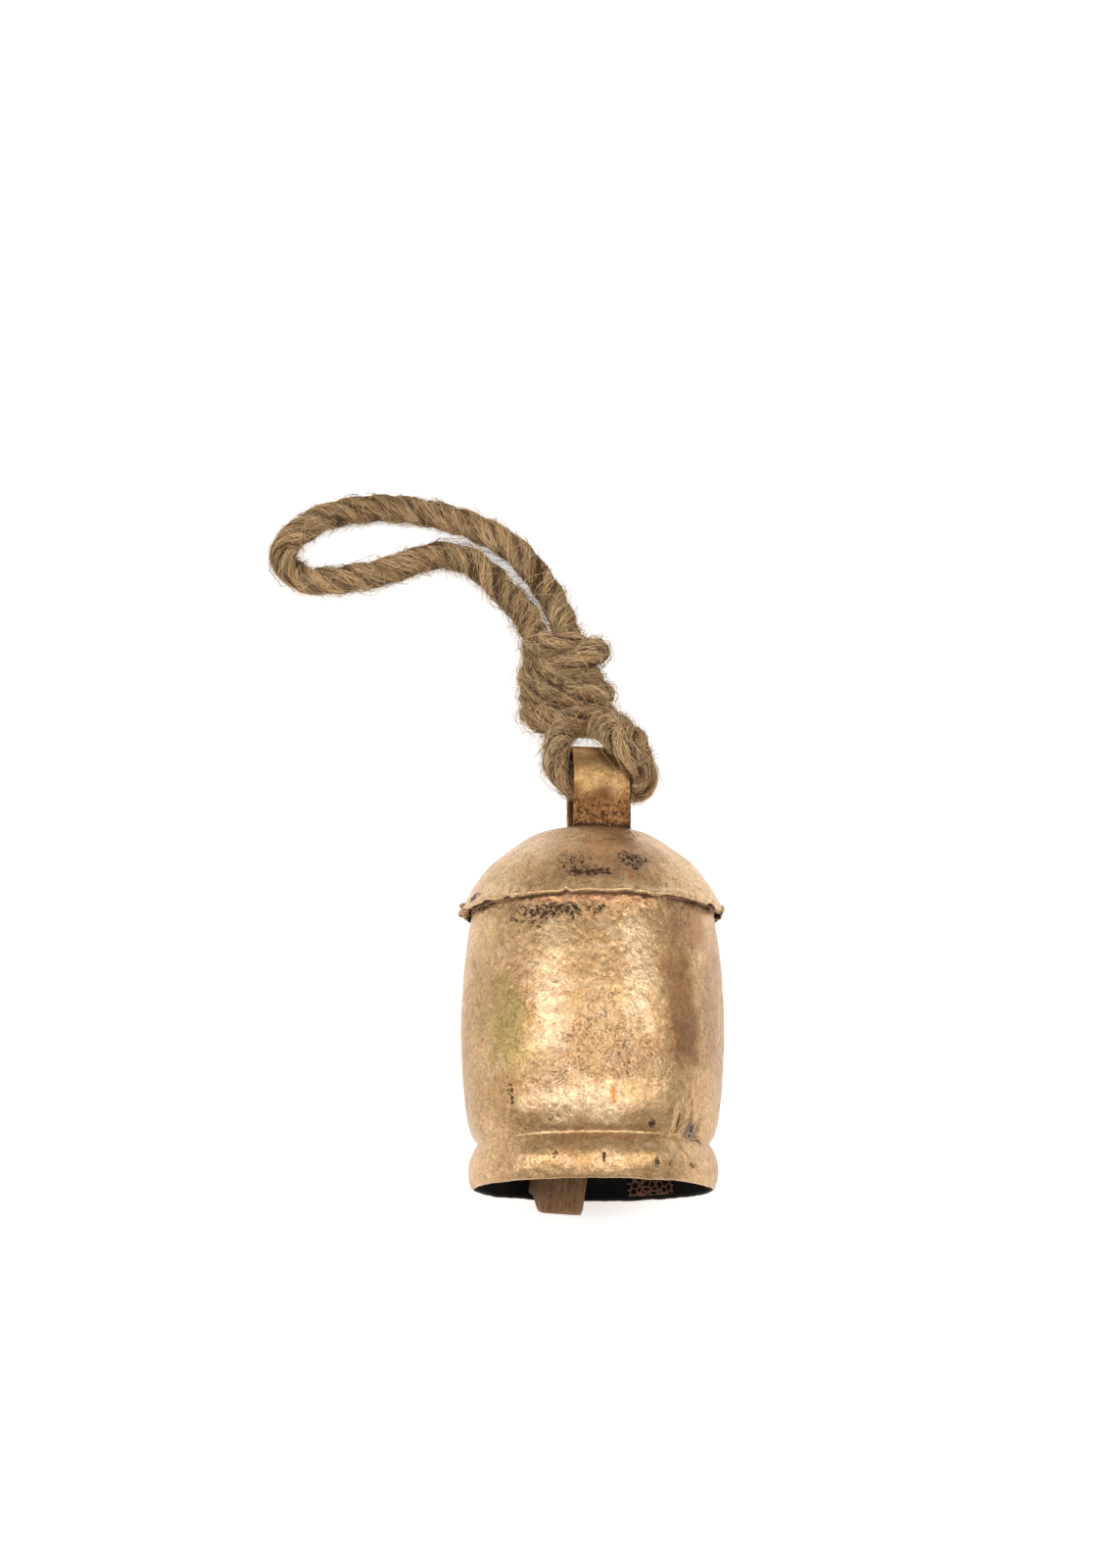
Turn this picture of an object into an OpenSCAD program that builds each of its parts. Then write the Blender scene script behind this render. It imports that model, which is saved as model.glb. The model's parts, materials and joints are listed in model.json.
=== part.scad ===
// Hand-made yard dinner bell, lying on its side: sheet body, domed crown, strap,
// wooden clapper on a wire link, and a laid rope tied through the strap.
// The bell's axis runs along +Y, its mouth faces -Y and the floor is z = 0.

/* [Bell body] */
// Largest outer radius of the belly, and of the crown's rim
belly_r = 45.1; // [44:0.1:46]
// Outer radius at the lip of the mouth
lip_r = 41.5; // [40.5:0.1:42.5]
// Outer radius of the rolled band above the lip
band_r = 42.5; // [42:0.1:43.5]
// Outer radius of the groove above the band
neck_r = 39.7; // [39:0.1:40.5]
// Height of the body's upper edge above the mouth
body_h = 99; // [98:0.5:100]
// Thickness of the sheet metal
sheet_t = 1.3; // [1:0.1:1.6]

/* [Crown] */
// Height of the crown's rim above the mouth
rim_h = 96; // [95.5:0.5:97]
// Height of the crown's top above the mouth
crown_h = 125; // [124:0.5:127]

/* [Strap] */
// Width of the strap's flat bar
strap_w = 20; // [18:0.5:21]
// Thickness of the strap's flat bar
strap_t = 2; // [1.5:0.1:2.4]
// Inner radius of the strap's arch
arch_r = 9; // [9:0.1:10]
// Height of the arch's centre above the mouth
arch_h = 143.4; // [142:0.2:146]
// Turn of the strap about the bell's axis, in degrees
strap_turn = 6.6; // [0:0.2:8]
// Sideways shift of the strap
strap_x = 2.2; // [0:0.2:3]

/* [Clapper] */
// Side of the clapper's square wooden block
block_w = 16; // [14:0.5:16.5]
// Length of the wooden block
block_l = 97; // [90:1:97]
// Roll of the block about its own length, in degrees
block_roll = -22; // [-45:1:0]
// Droop of the resting clapper below the bell's axis, in degrees
droop = 14.2; // [10:0.1:14.3]
// Sideways lean of the resting clapper, in degrees
lean = 7.4; // [5:0.1:7.6]
// Height of the clapper's pivot bar above the mouth
pivot_h = 108; // [106:0.5:109]
// Length of the wire link, bar to bar
link_l = 14; // [12:0.5:16]
// Radius of the pivot bar's wire
bar_r = 1.5; // [1.2:0.1:1.6]
// Radius of the link's and the eye's wire
wire_r = 1.25; // [1:0.05:1.3]

/* [Rope] */
// Diameter of the rope
rope_d = 10; // [9:0.2:10]

/* [Hidden] */
$fn = 96;

// The mouth's distance behind the frame's origin: half the length of the bell.
mouth_y = 73.3;
// Running clearance around the pivot bar and around the link's lower bar
run_gap = 0.05;

// Outer outline of the body: radius against height, lip to upper edge.
body_outline = [[lip_r, 0], [lip_r + 0.8, 3], [band_r, 7.6], [band_r - 1.4, 12],
                [neck_r, 15], [neck_r + 1.7, 17.7], [43, 23], [44, 31],
                [belly_r - 0.3, 43], [belly_r, 58], [belly_r - 0.7, 72],
                [43.3, 83], [42.3, 91], [41.2, body_h]];

// Outer outline of the crown: radius against height, rim to top.
crown_outline = [[belly_r, rim_h], [43.2, rim_h + 4.5], [40.5, rim_h + 9],
                 [36, rim_h + 15], [29.7, crown_h - 9], [20.9, crown_h - 3.2],
                 [10, crown_h - 0.6], [0, crown_h]];

// The rope's free loop beyond the knot, lying on the floor.
loop_route = [[-8, 119, 20], [-8, 127, 17], [-10, 136, 12], [-14, 146, 7],
              [-20, 156, 5.2], [-29, 166, 5.2], [-43, 174, 5.2], [-60, 179, 5.2],
              [-75, 181, 5.2], [-88, 180, 5.2], [-99, 177, 5.2], [-108, 171, 5.2],
              [-113, 164, 5.2], [-109, 156, 5.2], [-101, 153, 5.2],
              [-90, 154, 5.2], [-78, 156, 5.2], [-66, 160, 5.2], [-56, 163, 5.2],
              [-45, 161, 5.2], [-38, 156, 5.2], [-31, 148, 7], [-24, 139, 12],
              [-20, 129, 17], [-18, 119, 20]];

// The two strands that pass through the strap's arch, knot to knot.
front_route = [[-8.5, 99, 20], [-9.3, 94, 25], [-10.4, 89, 32], [-12, 84, 40.5],
               [-12.5, 80, 45.8], [-12.4, 75.5, 48.5], [-11, 70.5, 49.8],
               [-8, 66.5, 50], [-3, 64.5, 49.6], [3, 63.8, 49], [9, 64, 48.2],
               [15, 65, 48], [18.1, 66.7, 53], [17.6, 70.5, 60], [13.5, 73.8, 62],
               [10.3, 77.4, 60.5], [7.4, 82, 56.5], [5.2, 87, 47], [3.2, 92.3, 33],
               [1.5, 98.5, 22]];
back_route = [[-10, 99, 15], [-10.6, 93, 20], [-11.6, 87, 27], [-12.6, 81, 33.5],
              [-13.3, 75.5, 39.2], [-10, 72, 43.2], [-4, 73, 44], [2, 73, 43],
              [8, 72, 42], [13, 70.3, 41.2], [16.8, 72.5, 41], [17.2, 78, 40],
              [16.2, 84, 37.5], [13.4, 88.6, 34], [9, 93.5, 28], [5, 97.5, 22]];
// Radius of a strand where the strap and the knot squeeze it
strand_r = 0.42 * rope_d;

knot_centre = [-9, 108, 18.5];
knot_outline = [[0, -17], [9, -17], [15, -14], [17.6, -9], [18.2, -1],
                [17.2, 6], [14.5, 12], [12.2, 17], [11, 21], [0, 21]];

// Steps in each span of a route, and sides of the rope's tube
route_steps = 2;
rope_sides = 8;

// One span of a smooth curve through b and c, at t from 0 to 1.
function span(a, b, c, d, t) =
    0.5 * (2 * b + (c - a) * t + (2 * a - 5 * b + 4 * c - d) * t * t
           + (3 * b - a - 3 * c + d) * t * t * t);

// A smooth curve through all the points, with the given steps in each span.
function smooth(p, steps) =
    let (last = len(p) - 1)
    [for (i = [0 : last - 1])
        for (k = [0 : steps - 1])
            span(p[max(i - 1, 0)], p[i], p[i + 1], p[min(i + 2, last)], k / steps),
     p[last]];

function unit(v) = v / norm(v);
function tangent(p, i) = unit(p[min(i + 1, len(p) - 1)] - p[max(i - 1, 0)]);
function square_to(v, t) = unit(v - (v * t) * t);

// The outline moved inwards by a thickness, square to its own run.
function inset(p, t) =
    [for (i = [0 : len(p) - 1])
        let (d = tangent(p, i)) [max(p[i][0] - t * d[1], 0), p[i][1] + t * d[0]]];

function reversed(p) = [for (i = [len(p) - 1 : -1 : 0]) p[i]];

// Lays the bell down: heights above the mouth run along +Y.
module lie() {
    translate([0, -mouth_y, belly_r]) rotate([-90, 0, 0]) children();
}

// A turned shell of the given thickness under an outline.
module shell(outline, thickness) {
    outer = smooth(outline, 4);
    rotate_extrude() polygon(concat(outer, reversed(inset(outer, thickness))));
}

// A bent wire: part of a ring about Z, from +X towards +Y.
module bend(ring_r, radius, angle) {
    rotate_extrude(angle = angle, $fn = 48) translate([ring_r, 0]) circle(radius, $fn = 32);
}

module wire(length, radius) {
    cylinder(h = length, r = radius, $fn = 32);
}

// A tube swept along a route, its sections kept from twisting.
module tube(route, radius, sides) {
    count = len(route);
    first = square_to([0, 0, 1], tangent(route, 0));
    normals = [for (i = 0, n = first; i < count;
                    i = i + 1, n = square_to(n, tangent(route, min(i, count - 1)))) n];
    rings = [for (i = [0 : count - 1])
                let (t = tangent(route, i), b = cross(t, normals[i]))
                    for (k = [0 : sides - 1])
                        route[i] + radius * (cos(360 * k / sides) * normals[i]
                                             + sin(360 * k / sides) * b)];
    walls = [for (i = [0 : count - 2])
                for (k = [0 : sides - 1])
                    let (a = i * sides + k, b = i * sides + (k + 1) % sides)
                        [a, a + sides, b + sides, b]];
    start = [for (k = [0 : sides - 1]) k];
    end = [for (k = [sides - 1 : -1 : 0]) (count - 1) * sides + k];
    polyhedron(rings, concat([start, end], walls), convexity = 8);
}

// Rolled sheet body with its lip, band, groove and belly.
module bell_body() {
    color([0.80, 0.64, 0.42]) lie() shell(body_outline, sheet_t);
}

// Braze bead along the lap seam inside the body, on the low wall.
module seam_braze() {
    seam_angle = 72;
    bead_r = 1.6;
    color([0.60, 0.38, 0.24]) lie()
        rotate([0, 0, seam_angle])
            intersection() {
                translate([belly_r - sheet_t - 1.6, 0, 24]) wire(64, bead_r);
                rotate_extrude() polygon(concat([[0, 24], [0, 88]],
                    reversed([for (p = inset(smooth(body_outline, 4), sheet_t + 0.03))
                              if (p[1] > 24 && p[1] < 88) p])));
            }
}

// Domed crown with an overhanging rim, slots for the strap and holes for the staple.
module crown_cap() {
    color([0.76, 0.60, 0.40]) lie() difference() {
        shell(crown_outline, sheet_t);
        strap_place() for (side = [-1, 1])
            translate([-strap_w / 2 - 0.2, side * (arch_r + strap_t / 2) - strap_t / 2 - 0.1,
                       crown_h - 12])
                cube([strap_w + 0.4, strap_t + 0.2, 20]);
        staple_places() translate([0, 0, crown_h - 12]) cylinder(h = 20, r = bar_r + 0.05, $fn = 32);
    }
}

// Ring of braze between the body's shoulder and the crown's rim.
module crown_braze() {
    color([0.66, 0.42, 0.28]) lie() rotate_extrude()
        polygon([[42, rim_h + 0.5], [43.3, rim_h + 0.4], [42.2, rim_h + 2.6], [41.7, rim_h + 2.6]]);
}

module strap_place() {
    translate([strap_x, 0, 0]) rotate([0, 0, strap_turn]) children();
}

// Flat bar bent to an arch; its legs pass through the crown and are turned in below it.
module strap_handle() {
    tab_l = 6.5;
    tab_h = crown_h - 5;
    outer_r = arch_r + strap_t;
    color([0.74, 0.52, 0.33]) lie() strap_place() union() {
        difference() {
            translate([-strap_w / 2, 0, arch_h]) rotate([0, 90, 0]) cylinder(h = strap_w, r = outer_r);
            translate([-strap_w / 2 - 1, 0, arch_h]) rotate([0, 90, 0]) cylinder(h = strap_w + 2, r = arch_r);
            translate([-strap_w / 2 - 1, -outer_r - 1, arch_h - outer_r - 1])
                cube([strap_w + 2, 2 * outer_r + 2, outer_r + 1]);
        }
        for (side = [-1, 1]) {
            translate([-strap_w / 2, side * (arch_r + strap_t / 2) - strap_t / 2, tab_h])
                cube([strap_w, strap_t, arch_h - tab_h]);
            translate([-strap_w / 2, side * (arch_r - tab_l / 2) - tab_l / 2, tab_h])
                cube([strap_w, tab_l, strap_t]);
        }
    }
}

// Where the staple's two legs stand.
module staple_places() {
    for (side = [-1, 1]) translate([side * 6, 0, 0]) children();
}

// Wire staple under the crown: a bar for the link, two legs and their peened heads.
module clapper_staple() {
    corner = 3;
    leg_base = pivot_h + corner;
    head_h = crown_h + 0.1;
    color([0.36, 0.30, 0.25]) lie() union() {
        translate([-6 + corner, 0, pivot_h]) rotate([0, 90, 0]) wire(12 - 2 * corner, bar_r);
        translate([-6 + corner, 0, leg_base]) rotate([-90, 0, 0]) rotate([0, 0, 90]) bend(corner, bar_r, 90);
        translate([6 - corner, 0, leg_base]) rotate([-90, 0, 0]) bend(corner, bar_r, 90);
        staple_places() translate([0, 0, leg_base]) wire(head_h - leg_base + 0.5, bar_r);
        staple_places() translate([0, 0, head_h]) cylinder(h = 1, r = 2.6, $fn = 32);
    }
}

// Places the resting link: from the pivot bar down the droop, towards the mouth.
module link_place() {
    translate([0, 0, pivot_h]) rotate([180 + droop, 0, 0]) children();
}

// Wire link: a bend around the pivot bar, two sides and a straight lower bar.
module clapper_link() {
    top_r = bar_r + run_gap + wire_r;
    corner = 1.5;
    color([0.40, 0.34, 0.28]) lie() link_place() union() {
        rotate([0, 90, 0]) rotate([0, 0, 90]) bend(top_r, wire_r, 180);
        for (side = [-1, 1]) translate([0, side * top_r, 0]) wire(link_l - corner, wire_r);
        translate([0, top_r - corner, link_l - corner]) rotate([0, -90, 0]) bend(corner, wire_r, 90);
        translate([0, corner - top_r, link_l - corner]) rotate([0, -90, 0])
            rotate([0, 0, -90]) bend(corner, wire_r, 90);
        translate([0, corner - top_r, link_l]) rotate([-90, 0, 0]) wire(2 * (top_r - corner), wire_r);
    }
}

// Places the resting clapper: from the link's lower bar, leaning aside.
module clapper_place() {
    link_place() translate([0, 0, link_l]) rotate([0, -lean, 0]) children();
}

eye_r = 2 * wire_r + run_gap;
eye_reach = 6;
eye_depth = 12;

// Wire eye in the block's end: a bend around the link's bar and two driven legs.
module clapper_eye() {
    color([0.40, 0.34, 0.28]) lie() clapper_place() union() {
        rotate([90, 0, 0]) rotate([0, 0, 180]) bend(eye_r, wire_r, 180);
        for (side = [-1, 1]) translate([side * eye_r, 0, 0]) wire(eye_reach + eye_depth, wire_r);
    }
}

// Square wooden block with bevelled edges and two holes for the eye.
module clapper_block() {
    bevel = 1;
    half = block_w / 2;
    inner = half - bevel;
    color([0.42, 0.30, 0.20]) lie() clapper_place() difference() {
        translate([0, 0, eye_reach]) rotate([0, 0, block_roll]) linear_extrude(block_l)
            polygon([[half, inner], [inner, half], [-inner, half], [-half, inner],
                     [-half, -inner], [-inner, -half], [inner, -half], [half, -inner]]);
        for (side = [-1, 1])
            translate([side * eye_r, 0, eye_reach - 1]) wire(eye_depth + 1, wire_r);
    }
}

// The two strands of the lower eye, which run through the strap.
module rope_eye() {
    color([0.62, 0.51, 0.39]) union() {
        tube(smooth(front_route, route_steps), strand_r, rope_sides);
        tube(smooth(back_route, route_steps), strand_r, rope_sides);
    }
}

// Outer shape of the knot.
module rope_knot() {
    color([0.57, 0.46, 0.34]) translate(knot_centre) rotate([-90, 0, 0])
        rotate_extrude($fn = 48) polygon(knot_outline);
}

// The free loop that the bell hangs by.
module rope_loop() {
    color([0.64, 0.53, 0.41]) tube(smooth(loop_route, route_steps), rope_d / 2, rope_sides);
}

bell_body();
seam_braze();
crown_cap();
crown_braze();
strap_handle();
clapper_staple();
clapper_link();
clapper_eye();
clapper_block();
rope_eye();
rope_knot();
rope_loop();
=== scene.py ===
import json
import math

import bpy
import numpy as np
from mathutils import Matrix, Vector


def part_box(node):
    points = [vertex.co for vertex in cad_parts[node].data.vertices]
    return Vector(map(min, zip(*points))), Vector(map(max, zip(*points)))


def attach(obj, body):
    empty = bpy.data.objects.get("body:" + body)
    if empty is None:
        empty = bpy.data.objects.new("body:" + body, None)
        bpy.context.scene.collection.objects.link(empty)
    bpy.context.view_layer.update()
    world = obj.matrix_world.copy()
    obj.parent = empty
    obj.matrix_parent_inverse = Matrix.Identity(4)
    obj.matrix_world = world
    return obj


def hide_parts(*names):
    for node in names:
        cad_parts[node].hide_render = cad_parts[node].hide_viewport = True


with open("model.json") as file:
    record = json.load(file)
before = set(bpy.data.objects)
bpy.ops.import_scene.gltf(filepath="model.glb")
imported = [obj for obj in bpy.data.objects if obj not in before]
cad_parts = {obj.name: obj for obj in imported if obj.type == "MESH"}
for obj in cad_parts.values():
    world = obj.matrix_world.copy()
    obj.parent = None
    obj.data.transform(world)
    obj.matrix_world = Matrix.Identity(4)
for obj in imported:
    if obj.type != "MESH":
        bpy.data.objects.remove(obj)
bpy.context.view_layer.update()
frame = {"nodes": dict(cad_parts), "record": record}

MM = 0.001
TAU = 2 * math.pi

# ---------- places from the frame
body_low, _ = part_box("bell_body")
crown_low, crown_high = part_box("crown_cap")
AXIS_Z = (crown_low.z + crown_high.z) / 2 / MM
MOUTH_Y = body_low.y / MM
RIM_H = crown_low.y / MM - MOUTH_Y
CROWN_H = crown_high.y / MM - MOUTH_Y
BELLY_R = (crown_high.x - crown_low.x) / 2 / MM
JOINTS = {joint["name"]: joint for joint in frame["record"]["behaviour"]["joints"]}
ARCH_X, ARCH_Y, ARCH_Z = (c / MM for c in JOINTS["rope_swing"]["pos_m"])
STRAP_AXIS = np.array(JOINTS["rope_swing"]["axis"])
LINK_BAR = np.array(JOINTS["clapper_sway"]["pos_m"]) / MM
PIVOT_BAR = np.array(JOINTS["clapper_swing"]["pos_m"]) / MM

# Outer outlines, radius against height above the mouth; the sheet and the spacing of its rings.
BODY_OUTLINE = [
    (41.5, 0), (42.3, 3), (42.5, 7.6), (41.1, 12), (39.7, 15), (41.4, 17.7), (43, 23), (44, 31),
    (44.8, 43), (45.1, 58), (44.4, 72), (43.3, 83), (42.3, 91), (41.2, 99)]
CROWN_OUTLINE = [
    (45.1, 96), (43.2, 100.5), (40.5, 105), (36, 111), (29.7, 116), (20.9, 121.8), (10, 124.4), (0, 125)]
SHEET_T, SHELL_STEP = 1.3, 0.6
# The strap: the bar's thickness and width, and how far its legs stand from its middle.
STRAP_T, STRAP_W, STRAP_REACH = 2.0, 20.0, 10.0
# The clapper's block, and how far past the link it starts. Its roll and lean in degrees.
BLOCK_SIDE, BLOCK_LENGTH, BLOCK_START = 16.0, 97.0, 6
BLOCK_ROLL, BLOCK_LEAN = -22, 7.4

# The rope's route, from its tuck in the knot: over the strap's shoulder, through the arch,
# up through the knot, round the free loop, back down and through the arch again.
FRONT_ROUTE = [
    (-8.5, 99, 20), (-9.3, 94, 25), (-10.4, 89, 32), (-12, 84, 40.5), (-12.5, 80, 45.8),
    (-12.4, 75.5, 48.5), (-11, 70.5, 49.8), (-8, 66.5, 50), (-3, 64.5, 49.6), (3, 63.8, 49),
    (9, 64, 48.2), (15, 65, 48), (18.1, 66.7, 53), (17.6, 70.5, 60), (13.5, 73.8, 62),
    (10.3, 77.4, 60.5), (7.4, 82, 56.5), (5.2, 87, 47), (3.2, 92.3, 33), (1.5, 98.5, 22)]
LOOP_ROUTE = [
    (-8, 119, 20), (-8, 127, 17), (-10, 136, 12), (-14, 146, 7), (-20, 156, 5.2), (-29, 166, 5.2),
    (-43, 174, 5.2), (-60, 179, 5.2), (-75, 181, 5.2), (-88, 180, 5.2), (-99, 177, 5.2),
    (-108, 171, 5.2), (-113, 164, 5.2), (-109, 156, 5.2), (-101, 153, 5.2), (-90, 154, 5.2),
    (-78, 156, 5.2), (-66, 160, 5.2), (-56, 163, 5.2), (-45, 161, 5.2), (-38, 156, 5.2), (-31, 148, 7),
    (-24, 139, 12), (-20, 129, 17), (-18, 119, 20)]
BACK_ROUTE = [
    (-10, 99, 15), (-10.6, 93, 20), (-11.6, 87, 27), (-12.6, 81, 33.5), (-13.3, 75.5, 39.2),
    (-10, 72, 43.2), (-4, 73, 44), (2, 73, 43), (8, 72, 42), (13, 70.3, 41.2), (16.8, 72.5, 41),
    (17.2, 78, 40), (16.2, 84, 37.5), (13.4, 88.6, 34), (9, 93.5, 28), (5, 97.5, 22)]
# The knot's three round turns, bottom to top: the heights along Y at its back, left, front
# and right, then the half width and the half depth of the turn's centreline.
KNOT_TURNS = [(98, 100.5, 94.8, 101.3, 12.6, 12.5),
              (104, 107, 102.8, 107.5, 12.9, 12.9),
              (110.5, 113.5, 110, 112.5, 13.4, 11.2)]
# Then it rises over the front to the right, goes round once more as a collar and tucks in.
KNOT_EAR = [
    (-9, 117, 7), (-18, 118.5, 10), (-20.5, 118, 18), (-17.5, 115.3, 25.5), (-11.5, 113.6, 31),
    (-4, 116.2, 33.5), (0.5, 120, 29.5), (2.2, 122.5, 20), (-1.5, 124.5, 11), (-9, 126, 8),
    (-17.5, 125.5, 10), (-20.8, 124.5, 17), (-18.5, 123.5, 24), (-12.5, 122.5, 28), (-7, 123.5, 26),
    (-4, 124, 20), (-6, 120, 15)]
KNOT_X, KNOT_Z = -9, 18.5
ROPE_D = 10
ROPE_LAY = 33

# ---------- the camera
# It looks down on the bell from the mouth's side, far enough for a long lens.
CAMERA_RANGE = 1200.5
CAMERA_TILT = math.radians(77.5)
AIM = Vector((-14.4, MOUTH_Y + 141.4, AXIS_Z)) * MM
LENS_MM, SENSOR_MM = 78.75, 36
# The light: how bright the room is at the floor and overhead, and what the lamps point at.
WORLD_LOW, WORLD_HIGH = 0.22, 0.66
BELL_MIDDLE = Vector((0, 0, 0.04))


def stood(name, data):
    """A new object in the scene."""
    thing = bpy.data.objects.new(name, data)
    bpy.context.scene.collection.objects.link(thing)
    return thing


def make_camera():
    data = bpy.data.cameras.new("camera")
    data.lens = LENS_MM
    data.sensor_width = SENSOR_MM
    data.sensor_fit = "AUTO"
    data.clip_start, data.clip_end = 0.05, 20
    camera = stood("camera", data)
    back = Vector((0, -math.cos(CAMERA_TILT), math.sin(CAMERA_TILT)))
    camera.location = AIM + back * CAMERA_RANGE * MM
    camera.rotation_euler = (math.pi / 2 - CAMERA_TILT, 0, 0)
    bpy.context.scene.camera = camera


make_camera()
bpy.context.scene.view_settings.view_transform = "Standard"


# ---------- helpers
def field(u, v, seed, wrap=None):
    """A smooth random field over (u, v), -1 to 1, that repeats every wrap whole steps in u."""
    table = np.random.RandomState(seed).uniform(-1, 1, (256, 256))
    iu, iv = np.floor(u).astype(int), np.floor(v).astype(int)
    fu, fv = u - iu, v - iv
    fu, fv = fu * fu * (3 - 2 * fu), fv * fv * (3 - 2 * fv)
    ju = iu + 1
    if wrap:
        iu, ju = iu % wrap, ju % wrap
    u0, u1, v0, v1 = iu % 256, ju % 256, iv % 256, (iv + 1) % 256
    low = table[u0, v0] * (1 - fu) + table[u1, v0] * fu
    high = table[u0, v1] * (1 - fu) + table[u1, v1] * fu
    return low * (1 - fv) + high * fv


def layered(u, v, seed, wrap=None, octaves=3):
    """Several fields on top of each other, each half as large and twice as fine."""
    total = 0
    for k in range(octaves):
        step = 2 ** k
        total = total + field(u * step, v * step, seed + k, wrap and wrap * step) / step
    return total / 1.6


def round_bell(angle, steps, v, seed, octaves=3):
    """Layered fields that close up round the bell, with so many steps in a turn."""
    return layered(angle * steps / TAU, v, seed, wrap=steps, octaves=octaves)


def ease(value, low, high):
    """0 below low and 1 above high, with soft ends."""
    t = np.clip((value - low) / (high - low), 0, 1)
    return t * t * (3 - 2 * t)


def unit(vectors, least=0.0):
    """The vectors at length 1."""
    return vectors / (np.linalg.norm(vectors, axis=-1, keepdims=True) + least)


def spin(angle, a, b):
    """The directions at an angle from a towards b."""
    return np.cos(angle)[..., None] * a + np.sin(angle)[..., None] * b


def smooth(points, steps):
    """A smooth curve through all the points, the same as the design's own."""
    p = np.array(points, float)
    last = len(p) - 1
    t = (np.arange(steps) / steps)[:, None]
    out = []
    for i in range(last):
        a, b, c, d = p[max(i - 1, 0)], p[i], p[i + 1], p[min(i + 2, last)]
        out.append(0.5 * (2 * b + (c - a) * t + (2 * a - 5 * b + 4 * c - d) * t ** 2
                          + (3 * b - a - 3 * c + d) * t ** 3))
    return np.vstack(out + [p[-1:]])


def run_length(points):
    """The distance along a line at each of its points."""
    return np.concatenate([[0], np.cumsum(np.linalg.norm(np.diff(points, axis=0), axis=1))])


def evenly(points, step):
    """The same line with its points a step apart."""
    along = run_length(points)
    places = np.linspace(0, along[-1], int(along[-1] / step) + 1)
    return np.column_stack([np.interp(places, along, points[:, k]) for k in range(3)])


def relaxed(points, passes):
    """The same line with its kinks eased, its ends kept."""
    p = points.copy()
    for _ in range(passes):
        p[1:-1] = 0.25 * p[:-2] + 0.5 * p[1:-1] + 0.25 * p[2:]
    return p


def carried_frames(points):
    """Tangents and two square directions at each point, without twist."""
    tangents = unit(np.gradient(points, axis=0))
    normal = np.cross(tangents[0], (0.3, 0.2, 1))
    normals = []
    for t in tangents:
        normal = unit(normal - t * (normal @ t))
        normals.append(normal)
    normals = np.array(normals)
    return tangents, normals, np.cross(tangents, normals)


def grid_faces(rows, columns, round_columns=True, round_rows=False):
    """Quads over rows of columns of points."""
    r = np.arange(rows if round_rows else rows - 1)
    c = np.arange(columns if round_columns else columns - 1)
    i, j = (a.ravel() for a in np.meshgrid(r, c, indexing="ij"))
    i2, j2 = (i + 1) % rows, (j + 1) % columns
    return np.column_stack([i * columns + j, i * columns + j2, i2 * columns + j2, i2 * columns + j])


def make_mesh(name, points_mm, faces, material, body, replaced=(), flip=False):
    """A smooth-shaded piece from points in millimetres."""
    mesh = bpy.data.meshes.new(name)
    faces = [tuple(int(v) for v in (f[::-1] if flip else f)) for f in faces]
    mesh.from_pydata((np.asarray(points_mm) * MM).tolist(), [], faces)
    mesh.polygons.foreach_set("use_smooth", [True] * len(mesh.polygons))
    mesh.validate()
    for one in material if isinstance(material, (list, tuple)) else [material]:
        mesh.materials.append(one)
    piece = stood(name, mesh)
    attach(piece, body)
    if replaced:
        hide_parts(*replaced)
    return piece


def give(piece, name, values):
    """Stores one number, or one vector, for each point of a piece."""
    values = np.asarray(values, dtype=np.float32)
    kind = "FLOAT" if values.ndim == 1 else "FLOAT_VECTOR"
    layer = piece.data.attributes.new(name, kind, "POINT")
    layer.data.foreach_set("value" if values.ndim == 1 else "vector", values.ravel())


def on_bell(radius, height, angle):
    """Row-frame points from radius, height above the mouth and angle from the top to +X."""
    return np.column_stack([radius * np.sin(angle), MOUTH_Y + height, AXIS_Z + radius * np.cos(angle)])


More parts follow.
